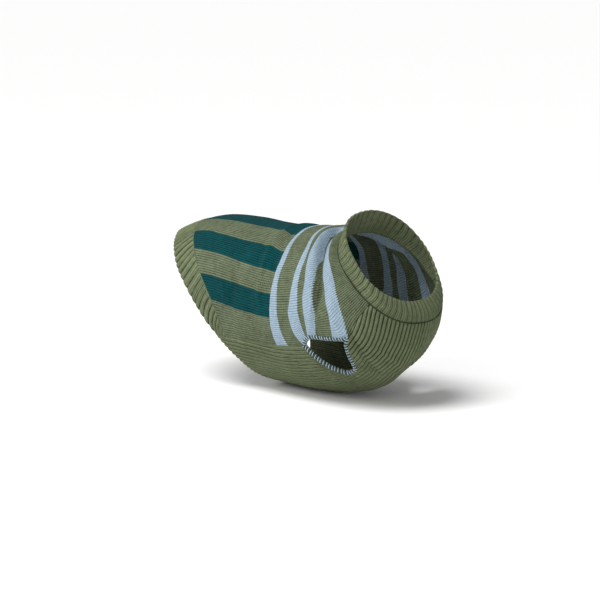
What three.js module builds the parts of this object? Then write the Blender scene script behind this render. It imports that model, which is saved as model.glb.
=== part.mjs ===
// A small dog's knitted pullover, kept in the hollow shape that it has when it is worn.
// Millimetres, +Z up. The wearer faces -Y, the spine lies over X = 0, and the sweater is alike on both sides.
// The origin lies inside the back panel, on the spine, where the wearer's back carries the garment.
import * as THREE from "three";

// Cloth sizes
const clothWall = 2.4;
const seamGap = 0.3;
const ribRaise = 0.9;
const bellyRibPitch = 4.8;
const bandRibs = 72;
const collarRibs = 64;
const bandSlantDegrees = 11;
const edgingRadius = 1.6;
const edgingInset = 0.5;

// Mesh fineness
const backColumns = 40;
const bandRows = 3;
const collarRows = 3;
const edgingSides = 6;

// Rings round the body, from the rump to the neck seam. Each gives the outer face's back point, its belly point,
// its half width, and how much narrower it is underneath, so that the rings lean forward over the shoulders and
// the chest draws in between the armholes as the cloth does.
const ringColumns = ["backY", "backZ", "bellyY", "bellyZ", "halfWidth", "keel"];
const bodyRings = [
  [215, -43, 200, -158, 60, 0],
  [170, -16, 150, -165, 68, 0],
  [124, 0, 100, -169, 72, 0],
  [80, 3, 50, -171, 73, 0.02],
  [37, 1, -5, -173, 73, 0.1],
  [0, 1, -60, -173.5, 74, 0.3],
  [-28, 4, -116, -163, 75, 0.6],
  [-50, 6, -152, -138.5, 74.5, 0.62],
  [-68, 6, -171, -113, 71.5, 0.3],
  [-87, 4, -182, -83, 59.5, 0],
];
// The collar stands up from the neck seam, steeper than the shoulders under it.
const collarRings = [
  [-87, 4, -182, -83, 59.5, 0],
  [-93, 15, -181, -72, 58.5, 0],
  [-98, 27, -174, -60, 56.5, 0],
];
const ringSquareness = 2.25;
const keelSharpness = 5;

// Edges of the pieces. Angles are degrees round a ring from the spine, and ring numbers count from the rump.
const hemEdge = [
  // angle, ring
  [0, 0.9],
  [20, 1.02],
  [38, 1.28],
  [57, 1.6],
  [71, 1.89],
  [86, 2.25],
  [102, 2.64],
  [113.5, 2.95],
  [121, 3.13],
  [137, 3.36],
  [160, 3.48],
  [180, 3.5],
];
const bandEdge = [
  // angle, ring
  [0, 1.72],
  [20, 1.82],
  [37, 2.0],
  [53, 2.3],
  [68, 2.62],
  [87, 3.0],
  [96, 3.12],
  [106, 3.21],
  [113.5, 3.26],
];
const backSideEdge = [
  // ring, angle: side seam, top of the armhole, chest seam
  [2.9, 113.6],
  [4, 112],
  [4.73, 111],
  [5.32, 110.6],
  [5.72, 110.4],
  [5.86, 107],
  [6.05, 105.3],
  [6.3, 107.2],
  [6.6, 111],
  [6.95, 115.6],
  [7.2, 118.9],
  [7.34, 119.5],
  [7.72, 118],
  [8.25, 116.6],
  [9, 116.5],
];
const bellySideEdge = [
  // ring, angle: side seam, bottom of the armhole, chest seam
  [2.9, 113.6],
  [4, 112],
  [4.73, 111],
  [5.32, 110.6],
  [5.72, 111],
  [5.84, 118],
  [6.0, 129],
  [6.16, 136.5],
  [6.31, 139.5],
  [6.46, 139.5],
  [6.62, 135.5],
  [6.84, 128],
  [7.1, 122],
  [7.36, 120.2],
  [7.72, 118.5],
  [8.25, 116.9],
  [9, 116.6],
];
const armholeRear = 5.72;
const armholeFront = 7.36;

// Rows of both panels, stretch by stretch along the side, so that their seam and the armhole share their points.
const rowStretches = [
  // last ring, rows of the back panel, rows of the belly panel
  [armholeRear, 12, 6],
  [6.12, 6, 6],
  [7.0, 7, 7],
  [armholeFront, 4, 4],
  [9, 12, 6],
];

// Folds of the worn cloth, the same on both sides. Each runs from a first to a last angle, with its ring number
// at the start, the middle and the end; its depth is inward, and its width is from its middle to where it fades.
const foldColumns = ["from", "to", "ringFrom", "ringMiddle", "ringTo", "depth", "width", "fade"];
const folds = [
  [20, 80, 8.2, 8.12, 7.3, 7.5, 8.5, 32], // deep fold from the nape down towards the armhole
  [20, 92, 7.65, 7.45, 6.6, -2.6, 11, 28], // the roll of cloth behind it
  [26, 96, 8.7, 8.62, 7.75, -1.8, 10, 28], // the roll of cloth before it
  [8, 70, 4.95, 5.0, 4.75, -2.2, 9, 22], // a cross wrinkle over the back
  [8, 66, 5.5, 5.45, 5.2, 2.0, 9, 22], // the hollow before it
  [122, 150, 7.5, 7.05, 6.75, 3.2, 8, 14], // a fold from the armhole's front corner under the chest
  [128, 165, 7.9, 7.6, 7.3, -1.5, 9, 18], // the swell before it
  [62, 108, 3.9, 3.7, 3.55, 1.3, 10, 22], // a slack hollow over the flank
];

const radians = THREE.MathUtils.degToRad;
const clamp = THREE.MathUtils.clamp;
const mix = THREE.MathUtils.lerp;

// Reads a table of [place, value] rows at any place between, level at both ends and without overshoot.
function readTable(rows, place) {
  const last = rows.length - 2;
  let i = 0;
  while (i < last && rows[i + 1][0] < place) i += 1;
  const rise = (k) => (rows[k + 1][1] - rows[k][1]) / (rows[k + 1][0] - rows[k][0]);
  const slope = (k) => {
    if (k === 0 || k === rows.length - 1) return 0;
    const before = rise(k - 1);
    const after = rise(k);
    return before * after <= 0 ? 0 : (2 * before * after) / (before + after);
  };
  const step = rows[i + 1][0] - rows[i][0];
  const f = clamp((place - rows[i][0]) / step, 0, 1);
  const rest = 1 - f;
  return (
    rows[i][1] * (1 + 2 * f) * rest * rest +
    rows[i + 1][1] * (3 - 2 * f) * f * f +
    slope(i) * step * f * rest * rest -
    slope(i + 1) * step * rest * f * f
  );
}

// A hollow of cloth through a table of rings. Its places are an angle in degrees from the spine, plus towards +X,
// and a ring number.
class ClothTube {
  constructor(rings, foldRows) {
    this.rings = rings.map((row) => Object.fromEntries(row.map((v, k) => [ringColumns[k], v])));
    this.folds = foldRows.map((row) => Object.fromEntries(row.map((v, k) => [foldColumns[k], v])));
    this.lastRing = rings.length - 1;
    this.angleSteps = 90;
    this.ringSteps = 20;
    this.arcs = [];
    for (let i = 0; i <= this.lastRing * this.ringSteps; i += 1) {
      this.arcs.push(this.arcsOfRing(i / this.ringSteps));
    }
  }

  section(ring) {
    const i = clamp(Math.floor(ring), 0, this.lastRing - 1);
    const f = ring - i;
    const at = (k, column) => {
      if (k < 0) return 2 * this.rings[0][column] - this.rings[1][column];
      if (k > this.lastRing) return 2 * this.rings[this.lastRing][column] - this.rings[this.lastRing - 1][column];
      return this.rings[k][column];
    };
    const section = {};
    for (const column of ringColumns) {
      const [a, b, c, d] = [at(i - 1, column), at(i, column), at(i + 1, column), at(i + 2, column)];
      section[column] =
        0.5 * (2 * b + (c - a) * f + (2 * a - 5 * b + 4 * c - d) * f * f + (3 * b - a - 3 * c + d) * f * f * f);
    }
    return section;
  }

  smoothPoint(angle, ring) {
    const s = this.section(ring);
    const side = Math.sin(radians(angle));
    const up = Math.cos(radians(angle));
    const power = ringSquareness;
    const reach = (Math.abs(side) ** power + Math.abs(up) ** power) ** (-1 / power);
    const narrowing = 1 - s.keel * Math.max(-up, 0) ** keelSharpness;
    return new THREE.Vector3(
      s.halfWidth * reach * side * narrowing,
      mix(s.bellyY, s.backY, 0.5 + 0.5 * reach * up),
      mix(s.bellyZ, s.backZ, 0.5 + 0.5 * reach * up),
    );
  }

  arcsOfRing(ring) {
    const lengths = [0];
    let before = this.smoothPoint(0, ring);
    for (let k = 1; k <= this.angleSteps; k += 1) {
      const here = this.smoothPoint((180 * k) / this.angleSteps, ring);
      lengths.push(lengths[k - 1] + here.distanceTo(before));
      before = here;
    }
    return lengths;
  }

  // Length round the ring from the spine to an angle, and the angle at such a length.
  arcTable(ring) {
    const place = clamp(ring * this.ringSteps, 0, this.arcs.length - 1.001);
    const i = Math.floor(place);
    return this.arcs[i].map((length, k) => mix(length, this.arcs[i + 1][k], place - i));
  }

  arcAt(angle, ring) {
    const table = this.arcTable(ring);
    const place = clamp((Math.abs(angle) / 180) * this.angleSteps, 0, this.angleSteps - 1e-9);
    const k = Math.floor(place);
    return Math.sign(angle) * mix(table[k], table[k + 1], place - k);
  }

  angleAt(arc, ring) {
    const table = this.arcTable(ring);
    const length = Math.min(Math.abs(arc), table[this.angleSteps]);
    let k = 0;
    while (k < this.angleSteps - 1 && table[k + 1] < length) k += 1;
    const share = (length - table[k]) / (table[k + 1] - table[k]);
    return (Math.sign(arc) * (k + share) * 180) / this.angleSteps;
  }

  halfGirth(ring) {
    return this.arcTable(ring)[this.angleSteps];
  }

  millimetresPerRing(angle, ring) {
    const step = 0.02;
    const low = clamp(ring, step, this.lastRing - step);
    return this.smoothPoint(angle, low + step).distanceTo(this.smoothPoint(angle, low - step)) / (2 * step);
  }

  foldDepth(angle, ring) {
    let depth = 0;
    for (const fold of this.folds) {
      const along = (Math.abs(angle) - fold.from) / (fold.to - fold.from);
      const middle = clamp(along, -0.3, 1.3);
      const bend = 2 * (fold.ringFrom + fold.ringTo - 2 * fold.ringMiddle);
      const path = mix(fold.ringFrom, fold.ringTo, middle) - bend * middle * (1 - middle);
      const away = ((ring - path) * this.millimetresPerRing(angle, ring)) / (fold.width / 2);
      const past = Math.max(fold.from - Math.abs(angle), Math.abs(angle) - fold.to, 0) / (fold.fade / 2);
      depth += fold.depth * Math.exp(-away * away - past * past);
    }
    return depth * clamp((this.lastRing - ring) / 0.35, 0, 1);
  }

  smoothNormal(angle, ring, pointAt) {
    const ringStep = 0.02;
    const angleStep = 0.4;
    const low = clamp(ring - ringStep, 0, this.lastRing);
    const high = clamp(ring + ringStep, 0, this.lastRing);
    const along = pointAt(angle, high).sub(pointAt(angle, low));
    const round = pointAt(angle + angleStep, ring).sub(pointAt(angle - angleStep, ring));
    return along.cross(round).normalize();
  }

  facePoint(angle, ring) {
    const point = this.smoothPoint(angle, ring);
    const depth = this.foldDepth(angle, ring);
    if (Math.abs(depth) < 1e-4) return point;
    return point.addScaledVector(
      this.smoothNormal(angle, ring, (a, r) => this.smoothPoint(a, r)),
      -depth,
    );
  }

  faceNormal(angle, ring) {
    return this.smoothNormal(angle, ring, (a, r) => this.facePoint(a, r));
  }
}

const body = new ClothTube(bodyRings, folds);
const collarTube = new ClothTube(collarRings, []);
const neckRing = body.lastRing;

// The direction that both walls share at the neck seam, so that neither cuts into the other.
function neckSeamNormal(angle) {
  const under = body.faceNormal(angle, neckRing);
  const over = collarTube.faceNormal(angle, 0);
  const halfTurn = 0.5 * under.angleTo(over);
  return under.add(over).normalize().divideScalar(Math.cos(halfTurn));
}

const heldPoint = (() => {
  const nearRing = 5;
  return body.facePoint(0, nearRing).addScaledVector(body.faceNormal(0, nearRing), -clothWall);
})();

function bodySkin(angle, ring, lift) {
  const nearSeam = ring > neckRing - 0.02;
  const normal = nearSeam ? neckSeamNormal(angle) : body.faceNormal(angle, ring);
  return body.facePoint(angle, ring).addScaledVector(normal, lift).sub(heldPoint);
}

function collarSkin(angle, ring, lift) {
  const normal = ring < 0.02 ? neckSeamNormal(angle) : collarTube.faceNormal(angle, ring);
  return collarTube.facePoint(angle, ring).addScaledVector(normal, lift).sub(heldPoint);
}

// Collects triangles, merges their shared corners and gives one closed surface that faces out.
class SolidMaker {
  constructor() {
    this.corners = new Map();
    this.positions = [];
    this.faces = [];
  }

  corner(point) {
    const key = point
      .toArray()
      .map((v) => Math.round(v * 1000))
      .join();
    if (!this.corners.has(key)) {
      this.corners.set(key, this.corners.size);
      this.positions.push(point.x, point.y, point.z);
    }
    return this.corners.get(key);
  }

  triangle(a, b, c) {
    const face = [this.corner(a), this.corner(b), this.corner(c)];
    if (new Set(face).size === 3) this.faces.push(face);
  }

  quad(a, b, c, d) {
    if (a.distanceTo(c) < b.distanceTo(d)) {
      this.triangle(a, b, c);
      this.triangle(a, c, d);
    } else {
      this.triangle(a, b, d);
      this.triangle(b, c, d);
    }
  }

  grid(points, turned) {
    for (let i = 0; i + 1 < points.length; i += 1) {
      for (let j = 0; j + 1 < points[i].length; j += 1) {
        const [a, b, c, d] = [points[i][j], points[i + 1][j], points[i + 1][j + 1], points[i][j + 1]];
        if (turned) this.quad(a, d, c, b);
        else this.quad(a, b, c, d);
      }
    }
  }

  // Joins two lines of points that run side by side, where one may have more points than the other.
  strip(first, second) {
    let i = 0;
    let j = 0;
    while (i + 1 < first.length || j + 1 < second.length) {
      const nextFirst = i + 1 < first.length ? (i + 1) / (first.length - 1) : 2;
      const nextSecond = j + 1 < second.length ? (j + 1) / (second.length - 1) : 2;
      if (nextFirst <= nextSecond) {
        this.triangle(first[i], first[i + 1], second[j]);
        i += 1;
      } else {
        this.triangle(first[i], second[j + 1], second[j]);
        j += 1;
      }
    }
  }

  volume() {
    const p = this.positions;
    const at = (k) => new THREE.Vector3(p[3 * k], p[3 * k + 1], p[3 * k + 2]);
    return this.faces.reduce((sum, [a, b, c]) => sum + at(a).dot(at(b).cross(at(c))) / 6, 0);
  }

  geometry() {
    const inward = this.volume() < 0;
    const geometry = new THREE.BufferGeometry();
    geometry.setAttribute("position", new THREE.Float32BufferAttribute(this.positions, 3));
    geometry.setIndex(this.faces.flatMap(([a, b, c]) => (inward ? [a, c, b] : [a, b, c])));
    geometry.computeVertexNormals();
    return geometry;
  }
}

// A wall of cloth between an outer grid and a plainer inner one: rows run along the body, columns round it.
function wallGeometry(outer, inner, closedRound) {
  const maker = new SolidMaker();
  maker.grid(outer, false);
  maker.grid(inner, true);
  const lastRow = outer.length - 1;
  maker.strip(outer[0], inner[0]);
  maker.strip(inner[lastRow], outer[lastRow]);
  if (!closedRound) {
    const column = (grid, fromEnd) => grid.map((row) => row[fromEnd ? row.length - 1 : 0]);
    maker.strip(column(inner, false), column(outer, false));
    maker.strip(column(outer, true), column(inner, true));
  }
  return maker.geometry();
}

function gridOf(rows, columns, pointAt) {
  const grid = [];
  for (let i = 0; i <= rows; i += 1) {
    const row = [];
    for (let j = 0; j <= columns; j += 1) row.push(pointAt(i / rows, j / columns));
    grid.push(row);
  }
  return grid;
}

const ringsOfGap = (angle, ring) => seamGap / 2 / body.millimetresPerRing(angle, ring);
const neckEnd = (angle) => neckRing - ringsOfGap(angle, neckRing);
const sideAngle = readTable(backSideEdge, 2.95);
const sideHem = readTable(hemEdge, sideAngle);
const sideStart = readTable(bandEdge, sideAngle) + ringsOfGap(sideAngle, 3.25);

// The rows' shares of the way from the hem band to the neck, for the back panel or for the belly panel.
function rowShares(column) {
  const shares = [0];
  let from = sideStart;
  for (const stretch of rowStretches) {
    for (let k = 1; k <= stretch[column]; k += 1) {
      shares.push((mix(from, stretch[0], k / stretch[column]) - sideStart) / (neckRing - sideStart));
    }
    from = stretch[0];
  }
  return shares;
}
const backShares = rowShares(1);
const bellyShares = rowShares(2);
const backRows = backShares.length - 1;
const bellyRows = bellyShares.length;

// The back panel: plain knitting from the hem band over the shoulders to the neck seam.
function backPlace(along, across) {
  const round = 2 * across - 1;
  const share = backShares[Math.round(along * backRows)];
  let start = 2.4;
  let ring = 4;
  let angle = 0;
  const angleOn = (at) => {
    const edge = body.arcAt(readTable(backSideEdge, at), at) - seamGap / 2;
    return body.angleAt(round * edge, at);
  };
  for (let pass = 0; pass < 8; pass += 1) {
    const startAngle = angleOn(start);
    start = readTable(bandEdge, Math.abs(startAngle)) + ringsOfGap(startAngle, start);
  }
  for (let pass = 0; pass < 3; pass += 1) {
    ring = mix(start, neckEnd(angle), share);
    angle = angleOn(ring);
  }
  return [angle, ring];
}

function backPanelGeometry() {
  const outer = gridOf(backRows, backColumns, (v, u) => bodySkin(...backPlace(v, u), 0));
  const inner = gridOf(backRows, backColumns / 2, (v, u) => bodySkin(...backPlace(v, u), -clothWall));
  return wallGeometry(outer, inner, false);
}

// The belly panel: ribs at one spacing, side by side from the belly line, cut off where its edges meet the back.
const bellyRibsPerSide = 22;

function bellyPlace(along, across) {
  const asked = (2 * across - 1) * bellyRibsPerSide * bellyRibPitch;
  const side = asked < 0 ? -1 : 1;
  const reachAt = (at) => {
    const edge = body.arcAt(readTable(bellySideEdge, at), at) + seamGap / 2;
    return Math.min(Math.abs(asked), body.halfGirth(at) - edge);
  };
  const angleOn = (reach, at) => side * body.angleAt(body.halfGirth(at) - reach, at);
  const row = Math.round(along * bellyRows);
  let ring = mix(3.2, neckRing, along);
  let reach = 0;
  let start = 3.2;
  for (let pass = 0; pass < 10; pass += 1) {
    reach = reachAt(ring);
    for (let turn = 0; turn < 5; turn += 1) start = readTable(hemEdge, Math.abs(angleOn(reach, start)));
    const beside = start + sideStart - sideHem;
    ring = row === 0 ? start : mix(beside, neckEnd(angleOn(reach, ring)), bellyShares[row - 1]);
  }
  return { angle: angleOn(reachAt(ring), ring), ring, fromBelly: reachAt(ring) };
}

function bellyPanelGeometry() {
  const skin = (v, u, ribbed) => {
    const place = bellyPlace(v, u);
    const wave = 0.5 + 0.5 * Math.cos((2 * Math.PI * place.fromBelly) / bellyRibPitch);
    return bodySkin(place.angle, place.ring, ribbed ? ribRaise * wave : -clothWall);
  };
  const outer = gridOf(bellyRows, bellyRibsPerSide * 4, (v, u) => skin(v, u, true));
  const inner = gridOf(bellyRows, bellyRibsPerSide, (v, u) => skin(v, u, false));
  return wallGeometry(outer, inner, false);
}

// The hem band: a ribbed crescent over the rump whose ribs stand square to the hem.
function hemBandGeometry() {
  const skin = (v, u, ribbed) => {
    const share = 2 * u - 1;
    const slant = bandSlantDegrees * v * Math.sin(Math.PI * Math.abs(share));
    const size = Math.abs(share) * sideAngle - slant;
    const lowRing = readTable(hemEdge, size);
    const highRing = readTable(bandEdge, size) - 2 * ringsOfGap(size, 2.5);
    const ring = mix(lowRing, highRing, v);
    const trim = Math.abs(share) === 1 ? seamGap / 2 : 0;
    const arc = body.arcAt(Math.abs(share) === 1 ? readTable(backSideEdge, ring) : size, ring) - trim;
    const angle = Math.sign(share) * body.angleAt(arc, ring);
    const wave = 0.5 - 0.5 * Math.cos(Math.PI * bandRibs * u * 2);
    return bodySkin(angle, ring, ribbed ? ribRaise * wave : -clothWall);
  };
  const outer = gridOf(bandRows, bandRibs * 2, (v, u) => skin(v, u, true));
  const inner = gridOf(bandRows, bandRibs, (v, u) => skin(v, u, false));
  return wallGeometry(outer, inner, false);
}

// The collar: a ribbed ring that stands up from the neck seam.
function collarGeometry() {
  const skin = (v, u, ribbed) => {
    const angle = u === 1 ? -180 : 360 * u - 180;
    const start = seamGap / 2 / collarTube.millimetresPerRing(angle, 0);
    const wave = 0.5 + 0.5 * Math.cos(2 * Math.PI * collarRibs * u);
    return collarSkin(angle, mix(start, collarTube.lastRing, v), ribbed ? ribRaise * wave : -clothWall);
  };
  const outer = gridOf(collarRows, collarRibs * 2, (v, u) => skin(v, u, true));
  const inner = gridOf(collarRows, collarRibs, (v, u) => skin(v, u, false));
  return wallGeometry(outer, inner, true);
}

// The stitched edging round an armhole: a slim roll that lies just inside the opening's edge.
function armholeEdgingGeometry(side) {
  const rings = backShares.map((share) => mix(sideStart, neckRing, share));
  const beside = rings.filter((ring) => ring > armholeRear + 0.01 && ring < armholeFront - 0.01);
  const rearCorner = { ring: armholeRear, angle: readTable(backSideEdge, armholeRear) };
  const loop = [
    rearCorner,
    ...beside.map((ring) => ({ ring, angle: readTable(backSideEdge, ring) })),
    ...beside.reverse().map((ring) => ({ ring, angle: readTable(bellySideEdge, ring) })),
  ];
  const steps = loop.length;
  const next = (list, k) => list[(k + 1) % steps];
  const previous = (list, k) => list[(k + steps - 1) % steps];
  const middle = new THREE.Vector3();
  const edge = loop.map(({ angle, ring }) => bodySkin(side * angle, ring, -clothWall / 2));
  edge.forEach((point) => middle.addScaledVector(point, 1 / edge.length));
  const inset = edgingRadius + edgingInset;
  const inside = edge.map((point, k) => {
    const tangent = next(edge, k).clone().sub(previous(edge, k)).normalize();
    const inward = middle.clone().sub(point);
    inward.addScaledVector(tangent, -inward.dot(tangent));
    const normal = body.faceNormal(side * loop[k].angle, loop[k].ring);
    inward.addScaledVector(normal, -inward.dot(normal)).normalize();
    return point.clone().addScaledVector(inward, inset);
  });
  const centres = inside.map((point, k) => {
    const around = next(inside, k).clone().add(previous(inside, k));
    return point.clone().multiplyScalar(0.5).addScaledVector(around, 0.25);
  });
  const sections = centres.map((centre, k) => {
    const along = next(centres, k).clone().sub(previous(centres, k)).normalize();
    const normal = body.faceNormal(side * loop[k].angle, loop[k].ring);
    const across = along.clone().cross(normal).normalize();
    const points = [];
    for (let j = 0; j < edgingSides; j += 1) {
      const turn = (2 * Math.PI * j) / edgingSides;
      points.push(
        centre
          .clone()
          .addScaledVector(across, edgingRadius * Math.cos(turn))
          .addScaledVector(normal, edgingRadius * Math.sin(turn)),
      );
    }
    return [...points, points[0]];
  });
  const maker = new SolidMaker();
  maker.grid([...sections, sections[0]], false);
  return maker.geometry();
}

const yarnColours = {
  moss: new THREE.MeshStandardMaterial({ color: 0x687657, roughness: 0.92, metalness: 0 }),
  shadedMoss: new THREE.MeshStandardMaterial({ color: 0x576348, roughness: 0.94, metalness: 0 }),
  paleBlue: new THREE.MeshStandardMaterial({ color: 0xa8bfd7, roughness: 0.9, metalness: 0 }),
};

const pieces = [
  { name: "back_panel", geometry: backPanelGeometry(), yarn: "moss" },
  { name: "belly_panel", geometry: bellyPanelGeometry(), yarn: "shadedMoss" },
  { name: "hem_band", geometry: hemBandGeometry(), yarn: "moss" },
  { name: "collar", geometry: collarGeometry(), yarn: "shadedMoss" },
  { name: "armhole_trim_right", geometry: armholeEdgingGeometry(-1), yarn: "paleBlue" },
  { name: "armhole_trim_left", geometry: armholeEdgingGeometry(1), yarn: "paleBlue" },
];

const sweater = new THREE.Group();
for (const piece of pieces) {
  const mesh = new THREE.Mesh(piece.geometry, yarnColours[piece.yarn].clone());
  mesh.name = piece.name;
  sweater.add(mesh);
}

export default sweater;
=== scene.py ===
import bpy, bmesh, math
import numpy as np
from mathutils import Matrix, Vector


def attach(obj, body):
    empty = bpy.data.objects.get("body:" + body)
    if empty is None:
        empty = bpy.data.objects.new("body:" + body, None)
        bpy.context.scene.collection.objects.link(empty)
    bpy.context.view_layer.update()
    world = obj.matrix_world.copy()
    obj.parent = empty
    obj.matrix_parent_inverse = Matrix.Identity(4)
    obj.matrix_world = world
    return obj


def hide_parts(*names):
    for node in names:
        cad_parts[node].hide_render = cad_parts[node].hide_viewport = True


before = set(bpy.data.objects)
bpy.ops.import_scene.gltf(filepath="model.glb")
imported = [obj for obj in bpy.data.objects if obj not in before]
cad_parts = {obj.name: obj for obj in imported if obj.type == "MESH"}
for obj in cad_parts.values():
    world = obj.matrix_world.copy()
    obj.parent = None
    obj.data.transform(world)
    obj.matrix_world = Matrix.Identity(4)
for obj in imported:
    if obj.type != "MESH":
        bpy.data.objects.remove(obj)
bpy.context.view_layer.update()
print("sweater: frame loaded")

# the worn cloth, in millimetres: angle is degrees round the body from the spine,
# ring counts from the rump to the neck seam
cloth = {
    "wall": 2.4,
    "seamGap": 0.3,
    "squareness": 2.25,
    "keelSharpness": 5,
    "ringStep": 0.02,
    "angleStep": 0.4,
    "rimRounding": 0.7,
    "rimSteps": 2,
}

ringColumns = ["backY", "backZ", "bellyY", "bellyZ", "halfWidth", "keel"]
bodyRings = [
    [215, -43, 200, -158, 60, 0],
    [170, -16, 150, -165, 68, 0],
    [124, 0, 100, -169, 72, 0],
    [80, 3, 50, -171, 73, 0.02],
    [37, 1, -5, -173, 73, 0.1],
    [0, 1, -60, -173.5, 74, 0.3],
    [-28, 4, -116, -163, 75, 0.6],
    [-50, 6, -152, -138.5, 74.5, 0.62],
    [-68, 6, -171, -113, 71.5, 0.3],
    [-87, 4, -182, -83, 59.5, 0],
]
collarRings = [
    [-87, 4, -182, -83, 59.5, 0],
    [-93, 15, -181, -72, 58.5, 0],
    [-98, 27, -174, -60, 56.5, 0],
]

hemEdge = [  # angle, ring
    [0, 0.9], [20, 1.02], [38, 1.28], [57, 1.6], [71, 1.89], [86, 2.25],
    [102, 2.64], [113.5, 2.95], [121, 3.13], [137, 3.36], [160, 3.48], [180, 3.5],
]
bandEdge = [  # angle, ring
    [0, 1.72], [20, 1.82], [37, 2.0], [53, 2.3], [68, 2.62], [87, 3.0],
    [96, 3.12], [106, 3.21], [113.5, 3.26],
]
backSideEdge = [  # ring, angle: side seam, top of the armhole, chest seam
    [2.9, 113.6], [4, 112], [4.73, 111], [5.32, 110.6], [5.72, 110.4], [5.86, 107], [6.05, 105.3],
    [6.3, 107.2], [6.6, 111], [6.95, 115.6], [7.2, 118.9], [7.34, 119.5], [7.72, 118], [8.25, 116.6], [9, 116.5],
]
bellySideEdge = [  # ring, angle: side seam, bottom of the armhole, chest seam
    [2.9, 113.6], [4, 112], [4.73, 111], [5.32, 110.6], [5.72, 110.5], [5.84, 118], [6.0, 129], [6.16, 136.5],
    [6.31, 139.5], [6.46, 139.5], [6.62, 135.5], [6.84, 128], [7.1, 122], [7.36, 119.8], [7.72, 118.1],
    [8.25, 116.7], [9, 116.5],
]
armhole = {"rear": 5.72, "front": 7.36}

foldColumns = ["from", "to", "ringFrom", "ringMiddle", "ringTo", "depth", "width", "fade"]
folds = [
    [20, 80, 8.2, 8.12, 7.3, 7.5, 8.5, 32],  # deep fold from the nape down towards the armhole
    [20, 92, 7.65, 7.45, 6.6, -2.6, 11, 28],  # the roll of cloth behind it
    [26, 96, 8.7, 8.62, 7.75, -1.8, 10, 28],  # the roll of cloth before it
    [8, 70, 4.95, 5.0, 4.75, -2.2, 9, 22],  # a cross wrinkle over the back
    [8, 66, 5.5, 5.45, 5.2, 2.0, 9, 22],  # the hollow before it
    [122, 150, 7.5, 7.05, 6.75, 3.2, 8, 14],  # a fold from the armhole's front corner under the chest
    [128, 165, 7.9, 7.6, 7.3, -1.5, 9, 18],  # the swell before it
    [62, 108, 3.9, 3.7, 3.55, 1.3, 10, 22],  # a slack hollow over the flank
]

# soft creases, finer than the folds: side is -1 or +1 and 0 for both
creaseColumns = ["side"] + foldColumns
creases = [
    [0, 36, 82, 8.09, 8.05, 7.48, 3.3, 8, 18],
    [0, 12, 66, 6.52, 6.42, 5.85, 1.7, 12, 20],
    [-1, 30, 62, 4.62, 4.66, 4.5, 0.9, 8, 14],
    [-1, 52, 86, 4.98, 4.82, 4.62, -0.8, 7, 16],
    [-1, 72, 104, 4.45, 4.3, 4.3, 0.6, 9, 18],
    [-1, 84, 108, 5.6, 5.5, 5.62, 0.7, 6, 12],
    [-1, 60, 92, 6.0, 5.7, 5.42, 0.6, 7, 14],
    [-1, 100, 112, 3.9, 4.5, 5.2, 0.5, 16, 10],
    [-1, 114, 128, 4.7, 5.15, 5.66, 1.0, 9, 9],
    [-1, 126, 146, 5.1, 5.4, 5.86, 0.8, 8, 12],
    [-1, 120, 138, 3.9, 4.1, 4.5, 0.6, 12, 16],
    [-1, 134, 168, 7.25, 6.95, 6.8, 0.9, 7, 12],
    [-1, 124, 140, 8.25, 7.95, 7.8, 0.6, 8, 14],
    [-1, 20, 58, 2.6, 2.9, 3.1, 0.5, 14, 20],
    [-1, 58, 84, 3.05, 3.3, 3.6, -0.5, 12, 18],
    [1, 26, 66, 4.7, 4.62, 4.42, 0.8, 8, 15],
    [1, 50, 80, 5.05, 4.9, 4.72, -0.9, 7, 15],
    [1, 68, 100, 4.5, 4.42, 4.2, 0.7, 10, 18],
    [1, 80, 106, 5.5, 5.45, 5.55, 0.6, 7, 13],
    [1, 62, 94, 5.95, 5.75, 5.5, 0.7, 8, 14],
    [1, 98, 110, 4.0, 4.6, 5.1, 0.5, 15, 10],
    [1, 115, 130, 4.8, 5.2, 5.7, 0.9, 9, 10],
    [1, 128, 150, 5.2, 5.45, 5.9, 0.7, 8, 12],
    [1, 118, 140, 3.8, 4.15, 4.45, 0.7, 12, 16],
    [1, 132, 160, 7.3, 7.0, 6.78, 1.0, 8, 12],
    [1, 122, 142, 8.2, 8.0, 7.75, 0.5, 8, 14],
    [1, 24, 52, 2.5, 2.8, 3.15, 0.6, 13, 20],
    [1, 56, 88, 3.1, 3.25, 3.7, -0.4, 12, 18],
]


def readTable(rows, place):  # level at both ends and without overshoot
    rows = np.asarray(rows, float)
    x, y = rows[:, 0], rows[:, 1]
    rise = np.diff(y) / np.diff(x)
    slope = np.zeros(len(x))
    same = rise[:-1] * rise[1:] > 0
    total = np.where(same, rise[:-1] + rise[1:], 1)
    slope[1:-1] = np.where(same, 2 * rise[:-1] * rise[1:] / total, 0)
    place = np.asarray(place, float)
    i = np.clip(np.searchsorted(x, place) - 1, 0, len(x) - 2)
    step = x[i + 1] - x[i]
    f = np.clip((place - x[i]) / step, 0, 1)
    rest = 1 - f
    return (y[i] * (1 + 2 * f) * rest**2 + y[i + 1] * (3 - 2 * f) * f**2
            + slope[i] * step * f * rest**2 - slope[i + 1] * step * rest * f**2)


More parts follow.
